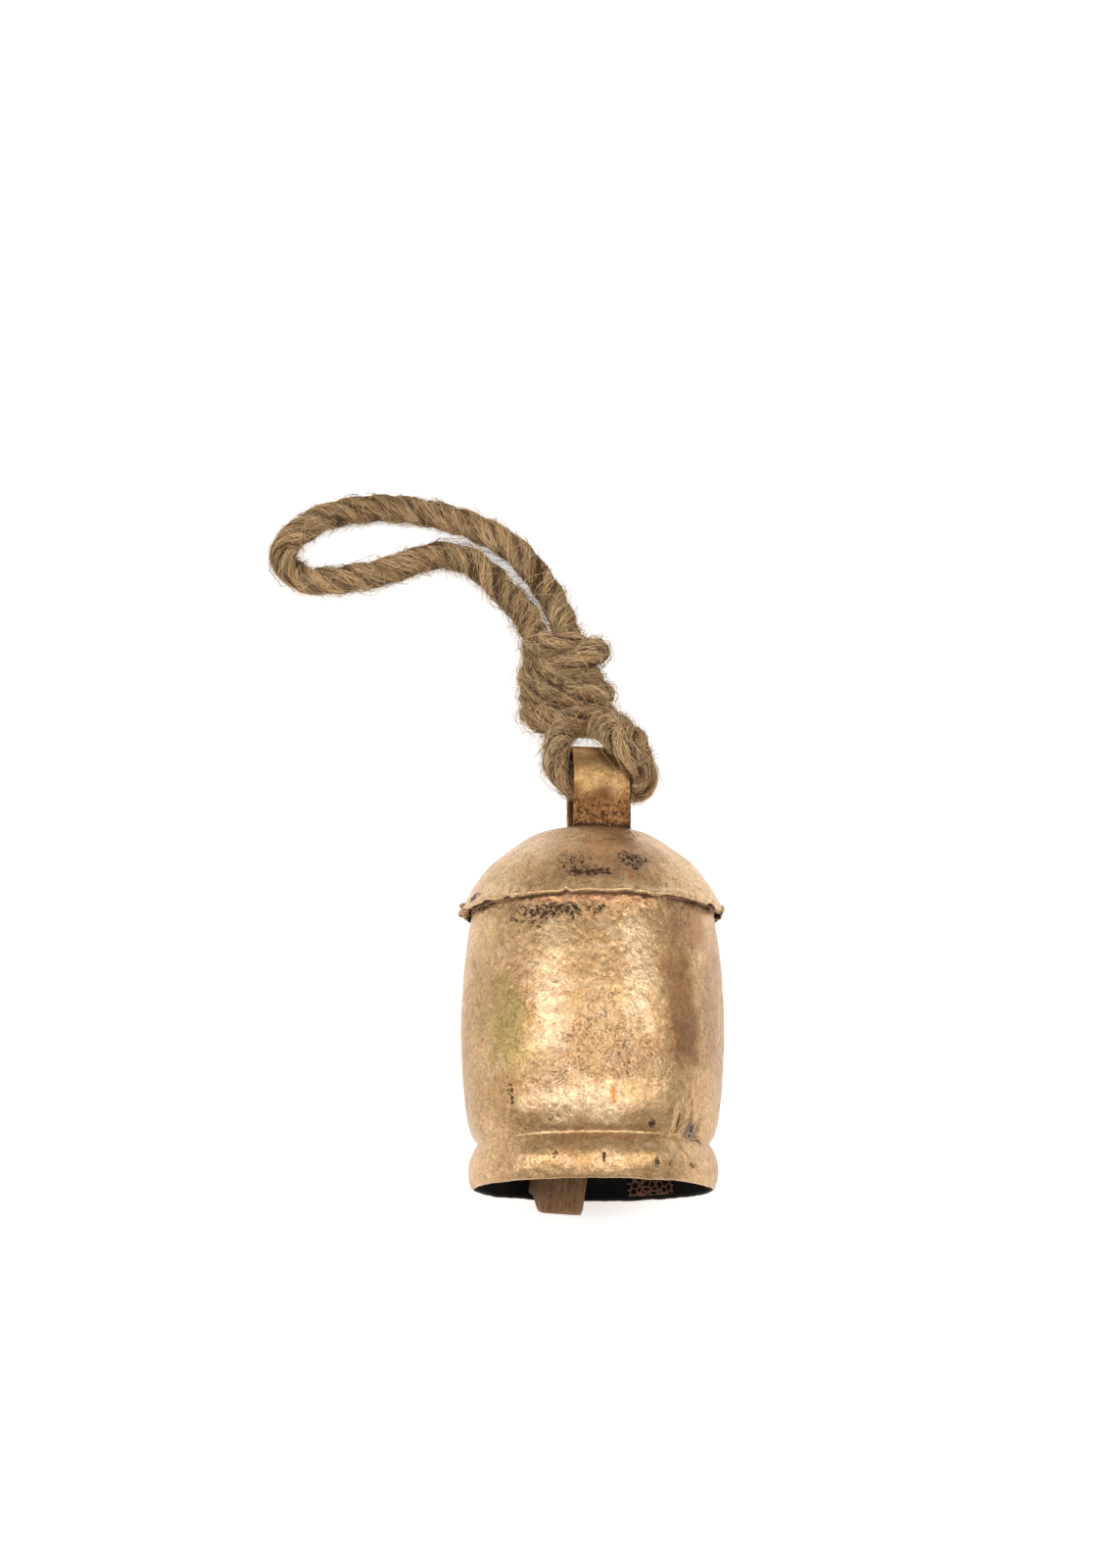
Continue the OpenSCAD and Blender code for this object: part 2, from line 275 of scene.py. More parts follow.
# ---------- materials
class Nodes:
    """A short way to write a node material."""

    def __init__(self, name):
        self.material = bpy.data.materials.new(name)
        self.material.use_nodes = True
        self.tree = self.material.node_tree
        self.tree.nodes.clear()
        output = self.tree.nodes.new("ShaderNodeOutputMaterial")
        self.shader = self.tree.nodes.new("ShaderNodeBsdfPrincipled")
        self.tree.links.new(self.shader.outputs[0], output.inputs["Surface"])

    def add(self, kind, links=None, **settings):
        node = self.tree.nodes.new(kind)
        for key, value in settings.items():
            if key in node.bl_rna.properties:
                setattr(node, key, value)
            else:
                node.inputs[key.replace("_", " ")].default_value = value
        for key, source in (links or {}).items():
            self.tree.links.new(source, node.inputs[key])
        return node

    def millimetres(self):
        """Object coordinates in millimetres."""
        place = self.add("ShaderNodeTexCoord").outputs["Object"]
        return self.add("ShaderNodeVectorMath", {0: place}, operation="SCALE", Scale=1 / MM).outputs[0]

    def stretched(self, vector, scale):
        node = self.add("ShaderNodeVectorMath", {0: vector}, operation="MULTIPLY")
        node.inputs[1].default_value = scale
        return node.outputs[0]

    def attribute(self, name, output="Fac"):
        return self.add("ShaderNodeAttribute", attribute_name=name).outputs[output]

    def noise(self, vector, scale, detail=4.0, roughness=0.6, distortion=0.0):
        return self.add("ShaderNodeTexNoise", {"Vector": vector}, Scale=scale, Detail=detail,
                        Roughness=roughness, Distortion=distortion).outputs["Fac"]

    def cells(self, vector, scale, feature="F1"):
        return self.add("ShaderNodeTexVoronoi", {"Vector": vector}, feature=feature,
                        Scale=scale).outputs["Distance"]

    def math(self, operation, a, b=None, clamp=False):
        node = self.add("ShaderNodeMath", operation=operation, use_clamp=clamp)
        for place, value in ((0, a), (1, b)):
            if isinstance(value, (int, float)):
                node.inputs[place].default_value = value
            elif value is not None:
                self.tree.links.new(value, node.inputs[place])
        return node.outputs[0]

    def plus(self, a, b, clamp=False):
        return self.math("ADD", a, b, clamp)

    def times(self, a, b):
        return self.math("MULTIPLY", a, b)

    def between(self, value, low, high, start=0.0, end=1.0):
        """Maps low..high to start..end, clamped, with soft ends."""
        node = self.add("ShaderNodeMapRange", {"Value": value}, interpolation_type="SMOOTHSTEP")
        for key, number in (("From Min", low), ("From Max", high), ("To Min", start), ("To Max", end)):
            node.inputs[key].default_value = number
        return node.outputs[0]

    def mix(self, factor, a, b, blend="MIX"):
        node = self.add("ShaderNodeMix", data_type="RGBA", blend_type=blend)
        self.plug(node.inputs["Factor"], factor)
        self.plug(node.inputs[6], a)
        self.plug(node.inputs[7], b)
        return node.outputs[2]

    def over(self, color, mask, low, high, start, end, tint):
        """Lays a tint over a colour where the mask is between low and high or past it."""
        return self.mix(self.between(mask, low, high, start, end), color, tint)

    def plug(self, socket, value):
        if isinstance(value, bpy.types.NodeSocket):
            self.tree.links.new(value, socket)
        elif isinstance(value, (int, float)):
            socket.default_value = value
        else:
            socket.default_value = (*value, 1)

    def bump(self, height, distance, strength=1.0, under=None):
        links = {"Height": height}
        if under is not None:
            links["Normal"] = under
        return self.add("ShaderNodeBump", links, Strength=strength, Distance=distance * MM).outputs[0]

    def finish(self, color, roughness, normal=None, **constants):
        self.plug(self.shader.inputs["Base Color"], color)
        self.plug(self.shader.inputs["Roughness"], roughness)
        if normal is not None:
            self.plug(self.shader.inputs["Normal"], normal)
        for key, value in constants.items():
            self.shader.inputs[key.replace("_", " ")].default_value = value
        return self.material


def brass_material(name, base, warm, pale, soot_bias=0.0):
    """Fire-brassed iron: a dusty gold skin with brown stains, crackle, pits and soot; on the body some of
    the stain colours are painted highlights.
    The piece's points carry a stain or painted highlight colour, how much of it, soot and crust."""
    n = Nodes(name)
    place = n.millimetres()
    broad = n.noise(place, 0.045, 3.0, 0.55)
    cloud = n.noise(place, 0.16, 5.0, 0.65, 0.6)
    fine = n.noise(place, 1.25, 5.0, 0.72)
    crackle = n.noise(n.stretched(place, (1, 0.7, 1)), 0.34, 5.0, 0.62, 1.8)
    hairline = n.noise(n.stretched(place, (1, 0.8, 1)), 0.85, 4.0, 0.6, 1.2)
    speckle = n.noise(place, 0.75, 5.0, 0.75, 0.8)
    crust = n.attribute("crust")
    color = n.mix(n.between(broad, 0.38, 0.66), base, warm)
    color = n.over(color, cloud, 0.48, 0.72, 0, 0.65, pale)
    color = n.over(color, speckle, 0.32, 0.48, 0.5, 0, DUSK)
    color = n.over(color, fine, 0.34, 0.44, 0.3, 0, pale)
    stain_or_highlight_amount = n.times(n.attribute("stain_or_highlight_amount"), n.between(speckle, 0.28, 0.56, 0.62, 1.0))
    # Stain colours, some of which are painted highlights on the body.
    color = n.mix(stain_or_highlight_amount, color, n.attribute("stain_or_highlight", "Color"))
    color = n.over(color, fine, 0.49, 0.62, 0, 0.65, RUST)
    mottle = n.noise(place, 0.42, 6.0, 0.75, 0.4)
    shade = n.between(mottle, 0.34, 0.62, 0.80, 1.10)
    grey = n.add("ShaderNodeCombineXYZ", {"X": shade, "Y": shade, "Z": shade}).outputs[0]
    color = n.mix(1.0, color, grey, "MULTIPLY")
    veins = n.math("ABSOLUTE", n.math("SUBTRACT", crackle, 0.5))
    veins = n.times(n.between(veins, 0.002, 0.015, 1, 0), n.between(crust, 0.25, 0.85, 0.08, 0.9))
    veins = n.times(veins, n.between(n.noise(place, 0.30, 3.0), 0.42, 0.58, 0.1, 1))
    threads = n.math("ABSOLUTE", n.math("SUBTRACT", hairline, 0.5))
    threads = n.times(n.between(threads, 0.003, 0.020, 1, 0), n.between(crust, 0.35, 1.0, 0.0, 0.6))
    threads = n.times(threads, n.between(n.noise(place, 0.42, 3.0), 0.46, 0.60))
    cracks = n.math("MAXIMUM", veins, threads)
    color = n.mix(cracks, color, CRACK)
    soot = n.plus(n.attribute("soot"), soot_bias)
    threshold = n.math("SUBTRACT", 0.80, n.times(soot, 0.40))
    soot_mask = n.between(n.math("SUBTRACT", speckle, threshold), 0.0, 0.05)
    color = n.mix(n.times(soot_mask, 0.9), color, SOOT_BLACK)
    pits = n.between(n.cells(place, 0.8), 0.0, 0.20, 1, 0)
    pit_mask = n.times(pits, n.between(n.noise(place, 0.21, 3.0), 0.50, 0.60))
    color = n.mix(n.times(pit_mask, 0.75), color, CRACK)
    grain = n.plus(n.times(fine, 0.6), speckle)
    grain = n.times(grain, n.between(crust, 0.2, 0.9, 0.7, 1.5))
    normal = n.bump(grain, 0.10, 0.8)
    dips = n.plus(n.times(pit_mask, 0.8), n.times(cracks, 0.5))
    normal = n.bump(n.math("SUBTRACT", crackle, dips), 0.34, 0.7, normal)
    dull = n.math("MAXIMUM", n.times(soot_mask, 0.35), n.times(cracks, 0.25))
    rough = n.plus(n.between(cloud, 0.3, 0.7, 0.25, 0.38), dull, clamp=True)
    return n.finish(color, rough, normal, Metallic=0.9, IOR=1.5)


def rough_material(name, cloud, fine, span, colors, fleck, rough, bump, metallic):
    """Two clouded colours with finer flecks: black iron, braze, wire."""
    n = Nodes(name)
    place = n.millimetres()
    cloud = n.noise(place, *cloud)
    fine = n.noise(place, fine, 4.0, 0.7)
    color = n.mix(n.between(cloud, *span), *colors)
    if fleck:
        color = n.over(color, fine, *fleck)
    return n.finish(color, n.between(fine, 0.3, 0.7, *rough), n.bump(fine, *bump), Metallic=metallic)


def net_material(name):
    """Coppery braze that ran out in a net over the black sheet."""
    n = Nodes(name)
    place = n.millimetres()
    warped = n.add("ShaderNodeTexNoise", {"Vector": place}, Scale=0.5, Detail=2.0)
    bent = n.add("ShaderNodeVectorMath", {0: place, 1: warped.outputs["Color"]},
                 operation="ADD").outputs[0]
    edges = n.cells(bent, 0.42, "DISTANCE_TO_EDGE")
    fine = n.noise(place, 1.6, 4.0, 0.7)
    zone = n.attribute("net")
    mask = n.times(n.between(edges, 0.05, 0.17, 1, 0), n.between(zone, 0.35, 0.65))
    mask = n.times(mask, n.between(fine, 0.3, 0.5, 0.45, 1))
    color = n.mix(mask, (0.010, 0.008, 0.006), (0.46, 0.22, 0.13))
    height = n.plus(mask, n.times(fine, 0.4))
    return n.finish(color, n.between(fine, 0.3, 0.7, 0.45, 0.7), n.bump(height, 0.5, 0.7), Metallic=0.55)


def wood_material(name):
    """Dark, rough-sawn wood. The piece's points carry grain: their place in the block."""
    n = Nodes(name)
    grain = n.attribute("grain", "Vector")
    streak = n.noise(n.stretched(grain, (1.0, 1.0, 0.055)), 1.5, 6.0, 0.65, 0.3)
    pores = n.noise(n.stretched(grain, (1.0, 1.0, 0.10)), 4.2, 3.0, 0.6)
    cloud = n.noise(grain, 0.12, 3.0)
    saw = n.noise(n.stretched(grain, (0.10, 0.10, 1.0)), 1.7, 3.0, 0.5)
    color = n.mix(n.between(streak, 0.32, 0.70), (0.15, 0.066, 0.024), (0.45, 0.235, 0.095))
    color = n.over(color, cloud, 0.35, 0.7, 0, 0.5, (0.34, 0.18, 0.08))
    color = n.over(color, pores, 0.56, 0.66, 0, 0.75, (0.045, 0.020, 0.008))
    color = n.mix(n.attribute("worn"), color, (0.40, 0.20, 0.10))
    height = n.plus(n.times(streak, 0.8), n.times(saw, 0.25))
    height = n.math("SUBTRACT", height, n.times(n.between(pores, 0.56, 0.66), 0.4))
    return n.finish(color, n.between(streak, 0.3, 0.7, 0.72, 0.9), n.bump(height, 0.5, 0.8), Metallic=0.0)


def jute_material(name):
    """Jute fibres. The points carry fibre (along, across, strand) and groove, 1 in the lay; the lay is
    darkened, partly dirt and partly painted shade.
    """
    n = Nodes(name)
    fibre = n.attribute("fibre", "Vector")
    place = n.millimetres()
    long_hair = n.noise(n.stretched(fibre, (0.16, 2.3, 1.0)), 1.0, 5.0, 0.7, 0.35)
    short_hair = n.noise(n.stretched(fibre, (0.45, 5.5, 1.0)), 1.0, 3.0, 0.65, 0.5)
    patch = n.noise(place, 0.075, 3.0, 0.6)
    bits = n.noise(n.stretched(fibre, (0.8, 2.0, 1.0)), 1.0, 3.0, 0.7)
    color = n.mix(n.between(long_hair, 0.38, 0.62), (0.11, 0.055, 0.022), (0.60, 0.385, 0.185))
    color = n.over(color, short_hair, 0.52, 0.68, 0, 0.6, (0.74, 0.52, 0.28))
    color = n.over(color, short_hair, 0.30, 0.44, 0.8, 0, (0.065, 0.033, 0.014))
    color = n.over(color, patch, 0.42, 0.68, 0, 0.45, (0.42, 0.21, 0.08))
    color = n.over(color, bits, 0.68, 0.76, 0, 0.8, (0.04, 0.022, 0.011))
    # The lay grooves between the strands are darkened: partly dirt, partly painted shade.
    color = n.mix(n.times(n.attribute("groove"), 0.85), color, (0.045, 0.026, 0.014))
    height = n.plus(long_hair, n.times(short_hair, 0.7))
    normal = n.bump(height, 0.55, 0.9)
    return n.finish(color, 0.95, normal, Metallic=0.0, Specular_IOR_Level=0.15)


def fuzz_material(name):
    """Loose jute hairs, each a little lighter or darker; those lying in the lay grooves are darker as
    painted shade.
    """
    n = Nodes(name)
    shade = n.attribute("shade")
    flecks = n.noise(n.millimetres(), 0.8, 2.0)
    color = n.mix(shade, (0.085, 0.042, 0.017), (0.90, 0.65, 0.365))
    color = n.over(color, flecks, 0.5, 0.7, 0, 0.3, (0.37, 0.23, 0.115))
    return n.finish(color, 0.85, None, Metallic=0.0, Specular_IOR_Level=0.2)


def floor_material(name):
    n = Nodes(name)
    soft = n.noise(n.millimetres(), 0.01, 2.0)
    color = n.mix(n.between(soft, 0.3, 0.7), (0.90,) * 3, (0.92,) * 3)
    n.shader.inputs["Emission Color"].default_value = (1, 1, 1, 1)
    return n.finish(color, 0.9, Emission_Strength=0.42)


# Colours of the flaws on all brassed pieces.
DUSK, RUST = (0.40, 0.25, 0.125), (0.30, 0.155, 0.065)
CRACK, SOOT_BLACK = (0.13, 0.062, 0.027), (0.035, 0.024, 0.018)
# Brass colours: the skin, its warmer stretches and its dusty pale ones.
BRASS = brass_material("aged_brass", (0.645, 0.41, 0.20), (0.54, 0.31, 0.135), (0.83, 0.63, 0.41))
CROWN_BRASS = brass_material("crown_brass", (0.77, 0.52, 0.29), (0.64, 0.40, 0.20), (0.90, 0.70, 0.46))
STRAP_BRASS = brass_material("strap_brass", (0.50, 0.305, 0.125), (0.39, 0.21, 0.078),
                             (0.62, 0.42, 0.205), soot_bias=0.04)
SOOT = rough_material("inner_soot", (0.12, 5.0, 0.65), 1.4, (0.35, 0.7),
                      ((0.006, 0.005, 0.004), (0.018, 0.013, 0.009)),
                      (0.62, 0.72, 0, 0.5, (0.05, 0.028, 0.016)), (0.65, 0.85), (0.3, 0.6), 0.2)
NET = net_material("braze_net")
COPPER = rough_material("rough_braze", (0.35, 5.0, 0.7, 0.5), 1.8, (0.35, 0.65),
                        ((0.46, 0.22, 0.12), (0.24, 0.13, 0.07)),
                        (0.58, 0.7, 0, 0.7, (0.05, 0.03, 0.02)), (0.4, 0.6), (0.4, 0.7), 0.7)
WIRE = rough_material("dark_wire", (0.5, 5.0, 0.7), 2.5, (0.4, 0.65),
                      ((0.045, 0.036, 0.030), (0.13, 0.062, 0.030)), None, (0.42, 0.7), (0.2, 0.6), 0.7)
WOOD = wood_material("clapper_wood")
JUTE = jute_material("jute")
FUZZ = fuzz_material("jute_hair")


# ---------- the rope
def knot_wraps():
    """The turns of the knot as points, from its lower right round the back and upwards."""
    points = []
    right_y = 98
    for back_y, left_y, front_y, end_y, half_w, half_d in KNOT_TURNS:
        quarters = [right_y, back_y, left_y, front_y, end_y]
        for k in range(8):
            angle = -TAU * k / 8
            whole, half = divmod(k, 2)
            y = quarters[whole] if not half else (quarters[whole] + quarters[whole + 1]) / 2
            points.append((KNOT_X + half_w * math.cos(angle), y, KNOT_Z + half_d * math.sin(angle)))
        right_y = end_y
    return points[1:] + KNOT_EAR


def rope_line():
    """The rope's whole centreline: eye, core, loop, core, eye and wraps."""
    route = FRONT_ROUTE[::-1] + LOOP_ROUTE + BACK_ROUTE + knot_wraps()
    return relaxed(evenly(smooth(route, 12), 0.75), 6)


def squeeze(y):
    """How much thinner the rope is at a place: squeezed in the strap, less so in the knot."""
    return 0.84 + 0.03 * ease(y, 86, 97) + 0.13 * ease(y, 122, 133)


def strand_outline(off):
    """The rope's radius over three strands laid side by side, off from a strand's middle."""
    strand_off, strand_r = 0.235 * ROPE_D, 0.268 * ROPE_D
    round_r = strand_off * np.cos(off) + np.sqrt(strand_r ** 2 - (strand_off * np.sin(off)) ** 2)
    return 0.66 * round_r + 0.34 * 0.485 * ROPE_D


def make_rope():
    line = rope_line()
    along = run_length(line)
    around = 54
    tangents, normals, sides = carried_frames(line)
    turn = TAU * along / ROPE_LAY
    phi = TAU * np.arange(around) / around
    strand = np.floor(phi / (TAU / 3)).astype(int)
    off = phi - (strand + 0.5) * (TAU / 3)
    outline = strand_outline(off)
    groove = ease(np.abs(off), 0.70, 1.04)
    u, v = np.meshgrid(along, np.arange(around), indexing="ij")
    ridges = layered(u / 9 + 7 * strand[v], (off[v] * 4.2 + u / 26) * 2.0, 11, octaves=2)
    lumps = layered(u / 6, phi[v] * 1.2, 31, octaves=2)
    radius = (outline[v] + 0.30 * ridges * (1 - 0.6 * groove[v]) + 0.16 * lumps)
    radius = radius * squeeze(line[:, 1])[:, None]
    angle = phi[v] + turn[:, None]
    points = line[:, None] + radius[..., None] * spin(angle, normals[:, None], sides[:, None])
    points = points.reshape(-1, 3)
    points[:, 2] = np.maximum(points[:, 2], 0.15)
    rings = len(line)
    faces = [tuple(f) for f in grid_faces(rings, around)]
    count = rings * around
    caps = np.vstack([line[:1] - tangents[:1] * 2, line[-1:] + tangents[-1:] * 2])
    for k in range(around):
        k2 = (k + 1) % around
        faces.append((count, k2, k))
        faces.append((count + 1, count - around + k, count - around + k2))
    rope = make_mesh("rope", np.vstack([points, caps]), faces, JUTE, "rope",
                     ("rope_eye", "rope_knot", "rope_loop"))
    fibre = np.stack([u, off[v] * 2.9 + u / 11, strand[v] * 9.0 + 0 * u], axis=-1).reshape(-1, 3)
    give(rope, "fibre", np.vstack([fibre, np.zeros((2, 3))]))
    give(rope, "groove", np.concatenate([np.broadcast_to(groove, u.shape).ravel(), [0, 0]]))
    return line, along, normals, sides


def make_hair(line, along, normals, sides, count):
    """Loose jute hairs all along the rope. Most hug it and run with its strands; some stray."""
    rng = np.random.RandomState(5)
    steps, corners = 5, 3
    t = np.linspace(0, 1, steps)[None]
    stray = (rng.uniform(size=count) < 0.20)[:, None]
    start = rng.uniform(3, along[-1] - 14, count)[:, None]
    spot = rng.uniform(0, TAU, count)[:, None]
    length = np.where(stray, rng.uniform(6, 18, (count, 1)), rng.uniform(4, 11, (count, 1)))
    lean = np.where(stray, rng.normal(0, 0.9, (count, 1)), rng.normal(0, 0.5, (count, 1)))
    bend = rng.normal(0, 0.35, (count, 1))
    place = start + length * t * np.cos(lean)
    drift = (length * np.sin(lean) * t + length * bend * t ** 2) / (0.5 * ROPE_D)
    phi = (spot + drift) % TAU
    off = phi % (TAU / 3) - TAU / 6
    hug = 0.75 * strand_outline(off) + 0.25 * 0.49 * ROPE_D
    lift_close = 0.05 + rng.uniform(0, 0.42, (count, 1)) * np.sin(np.pi * t)
    lift_stray = (rng.uniform(0.4, 4.4, (count, 1)) * t ** rng.uniform(0.8, 2.2, (count, 1))
                  + rng.uniform(0, 1.1, (count, 1)) * np.sin(rng.uniform(3, 9, (count, 1)) * t))
    radius = hug + np.where(stray, np.maximum(lift_stray, 0), lift_close)
    centre, normal, side = (np.stack([np.interp(place, along, table[:, k]) for k in range(3)], axis=-1)
                            for table in (line, normals, sides))
    radius = radius - (1 - squeeze(centre[..., 1])) * 0.5 * ROPE_D
    angle = phi + TAU * place / ROPE_LAY
    out = spin(angle, normal, side)
    middle = centre + out * radius[..., None]
    heading = unit(np.gradient(middle, axis=1), 1e-9)
    square = unit(np.cross(heading, out), 1e-9)
    other = np.cross(heading, square)
    thick = np.where(stray, rng.uniform(0.09, 0.15, (count, 1)), rng.uniform(0.07, 0.16, (count, 1)))
    thick = (thick * (1 - 0.55 * t))[..., None]
    rings = [middle + thick * (math.cos(a) * square + math.sin(a) * other)
             for a in TAU * np.arange(corners) / corners]
    points = np.stack(rings, axis=2).reshape(-1, 3)
    points[:, 2] = np.maximum(points[:, 2], 0.1)
    pattern = [(corners * r + k, corners * r + (k + 1) % corners, corners * (r + 1) + (k + 1) % corners,
                corners * (r + 1) + k) for r in range(steps - 1) for k in range(corners)]
    block = steps * corners
    faces = (np.array(pattern)[None] + block * np.arange(count)[:, None, None]).reshape(-1, 4)
    hair = make_mesh("rope_hair", points, faces, FUZZ, "rope")
    # Neighbours share a shade, so that the hairs lie in light and dark locks.
    locks = layered(start[:, 0] / 6, spot[:, 0] * 2.0, 163)
    # Hairs that lie in the lay grooves are darkened: painted shade.
    in_lay = ease(np.abs(off[:, 0]), 0.62, 1.02) * ~stray[:, 0]
    shade = np.clip(0.56 + 1.1 * locks + rng.normal(0, 0.28, count) - 0.55 * in_lay, 0, 1)
    give(hair, "shade", np.repeat(shade, block))


make_hair(*make_rope(), count=17000)


# ---------- the bell
# Stains and painted highlights: angle from the top in degrees, height, half sizes along both in mm,
# strength, colour. The first three, pale, are painted highlights: two bright streaks down the front and
# one low on the belly.
BODY_STAINS_AND_HIGHLIGHTS = [
    (-19, 52, 7, 38, 0.55, (0.84, 0.62, 0.40)), (20, 68, 6, 28, 0.5, (0.84, 0.62, 0.40)),
    (-6, 24, 20, 9, 0.6, (0.88, 0.65, 0.42)), (-42, 52, 11, 20, 0.85, (0.41, 0.31, 0.105)),
    (-36, 40, 9, 10, 0.45, (0.50, 0.38, 0.12)), (-58, 66, 9, 20, 0.6, (0.44, 0.30, 0.14)),
    (-33, 78, 8, 12, 0.5, (0.46, 0.29, 0.13)), (-58, 34, 10, 14, 0.5, (0.50, 0.33, 0.15)),
    (41, 60, 9, 25, 0.9, (0.36, 0.175, 0.07)), (45, 46, 7, 13, 0.95, (0.24, 0.115, 0.05)),
    (50, 86, 16, 10, 0.8, (0.38, 0.19, 0.10)), (62, 60, 7, 22, 0.6, (0.40, 0.225, 0.15)),
    (-4, 94, 34, 2.6, 0.95, (0.74, 0.38, 0.21)), (-30, 91, 22, 4, 0.55, (0.38, 0.22, 0.11)),
    (14, 37, 12, 10, 0.50, (0.38, 0.22, 0.105)), (8.4, 27, 1.4, 3.6, 0.95, (0.50, 0.17, 0.05)),
    (9, 70, 5, 8, 0.35, (0.42, 0.24, 0.11)), (-20, 36, 7, 8, 0.45, (0.35, 0.21, 0.10)),
    (54, 17, 4, 4, 0.70, (0.13, 0.12, 0.14)), (-75, 30, 12, 16, 0.5, (0.38, 0.25, 0.13)),
    (80, 40, 14, 22, 0.5, (0.42, 0.26, 0.15)), (68, 76, 8, 12, 0.6, (0.46, 0.26, 0.17)),
    (70, 48, 6, 12, 0.4, (0.40, 0.23, 0.14)), (120, 62, 22, 22, 0.7, (0.34, 0.20, 0.10)),
    (-130, 46, 24, 18, 0.7, (0.36, 0.27, 0.12)), (178, 70, 26, 16, 0.6, (0.32, 0.18, 0.10)),
    (165, 30, 18, 12, 0.5, (0.40, 0.31, 0.14))]
# Soot, the same without a colour: under the crown's rim, then smaller marks down to the lip.
BODY_SOOT = [
    (-16, 89.5, 19, 4.0, 0.9), (-1, 90.5, 8, 3.0, 0.75), (-27, 86, 8, 5, 0.75), (-36, 89, 7, 4.5, 0.75),
    (-8, 86, 9, 4, 0.55), (30, 84, 14, 5, 0.35), (44, 66, 9, 22, 0.42), (-36, 62, 9, 16, 0.36),
    (-30, 40, 10, 9, 0.4), (24, 44, 14, 9, 0.42), (14, 38, 12, 8, 0.55), (-40, 30, 2, 3, 0.8),
    (-39, 26, 1.6, 2.6, 0.9), (-18, 19.5, 4, 2.2, 0.75), (28, 18, 2.2, 3, 0.95),
    (42.7, 20, 1.4, 4.2, 1.0), (47, 18, 1.5, 4, 0.7), (54, 17, 3, 3.6, 0.95), (62, 14, 3, 3, 0.8),
    (-18, 7.2, 1.3, 1.8, 0.95), (4.3, 6.4, 1.0, 2.8, 1.05), (29, 5, 1.8, 2.6, 0.9),
    (37, 5, 2.4, 2.2, 0.75), (52, 5.2, 3.4, 2, 0.8), (41, 50, 6, 10, 0.45), (48, 88, 9, 5, 0.45),
    (-43, 79, 3, 4, 0.6), (-50, 72, 4, 5, 0.55), (58, 60, 4, 18, 0.5), (-24, 37, 5, 5, 0.5),
    (3, 42, 4, 4, 0.5), (150, 86, 40, 5, 0.7), (-110, 88, 30, 4, 0.6), (110, 20, 14, 5, 0.6),
    (-100, 14, 10, 4, 0.55), (170, 50, 20, 14, 0.4), (-150, 70, 14, 10, 0.4)]
CROWN_STAINS = [
    (5, 105, 26, 9, 0.75, (0.58, 0.32, 0.135)), (2, 102.5, 18, 4, 0.8, (0.42, 0.225, 0.10)),
    (9, 112, 15, 11, 0.85, (0.58, 0.30, 0.12)), (30, 112, 8, 6, 0.7, (0.32, 0.17, 0.08)),
    (17, 100.9, 1.7, 1.7, 1.0, (0.70, 0.13, 0.02)), (20, 106, 10, 5, 0.55, (0.33, 0.19, 0.12)),
    (-60, 104, 16, 6, 0.3, (0.42, 0.30, 0.16)), (140, 106, 30, 9, 0.6, (0.30, 0.18, 0.10)),
    (-150, 104, 20, 6, 0.5, (0.34, 0.24, 0.11)), (0, 124.5, 60, 3.0, 0.75, (0.22, 0.12, 0.06))]
CROWN_SOOT = [
    (-4, 102.6, 20, 4.2, 0.68), (-3, 101.8, 12, 2.2, 0.95), (-10, 106, 10, 5, 0.75),
    (20, 106, 9, 5, 0.85), (3, 109, 14, 8, 0.45), (-66, 97.5, 9, 2.4, 1.0), (10, 115, 10, 4, 0.45),
    (160, 104, 30, 6, 0.6), (-120, 100, 20, 4, 0.6), (0, 124, 60, 1.6, 0.6)]
# Where the skin is crackled, the same without a colour.
BODY_CRUST = [
    (2, 44, 22, 17, 1.0), (22, 38, 18, 10, 0.9), (-34, 54, 14, 24, 0.75), (-20, 34, 14, 9, 0.9),
    (-38, 30, 8, 9, 0.6), (0, 72, 24, 12, 0.45), (40, 62, 12, 26, 0.7), (-20, 88, 26, 5, 0.7),
    (62, 56, 16, 32, 0.9), (-64, 50, 12, 34, 0.8), (100, 50, 30, 30, 0.7), (-90, 40, 26, 26, 0.6),
    (170, 60, 50, 30, 0.7)]
CROWN_CRUST = [
    (8, 108, 26, 12, 0.8), (-40, 106, 26, 10, 0.6), (50, 104, 20, 10, 0.6), (180, 106, 60, 12, 0.7)]


def skin(piece, stain_or_highlight, stain_or_highlight_amount, soot, crust):
    """What brass_material reads at each point of a piece: one value for all, or one each."""
    count = len(piece.data.vertices)
    give(piece, "stain_or_highlight", np.broadcast_to(stain_or_highlight, (count, 3)))
    for name, values in (("stain_or_highlight_amount", stain_or_highlight_amount), ("soot", soot), ("crust", crust)):
        give(piece, name, np.broadcast_to(values, count))


def near(angle, height, radius, spot_angle, spot_height, half_w, half_h, seed):
    """1 inside a ragged spot on the bell, 0 outside."""
    gap = (angle - math.radians(spot_angle) + math.pi) % TAU - math.pi
    ragged = 0.45 * layered(angle * 9, height / 5, seed)
    distance = np.hypot(gap * radius / half_w, (height - spot_height) / half_h) + ragged
    return ease(-distance, -1.25, -0.35)


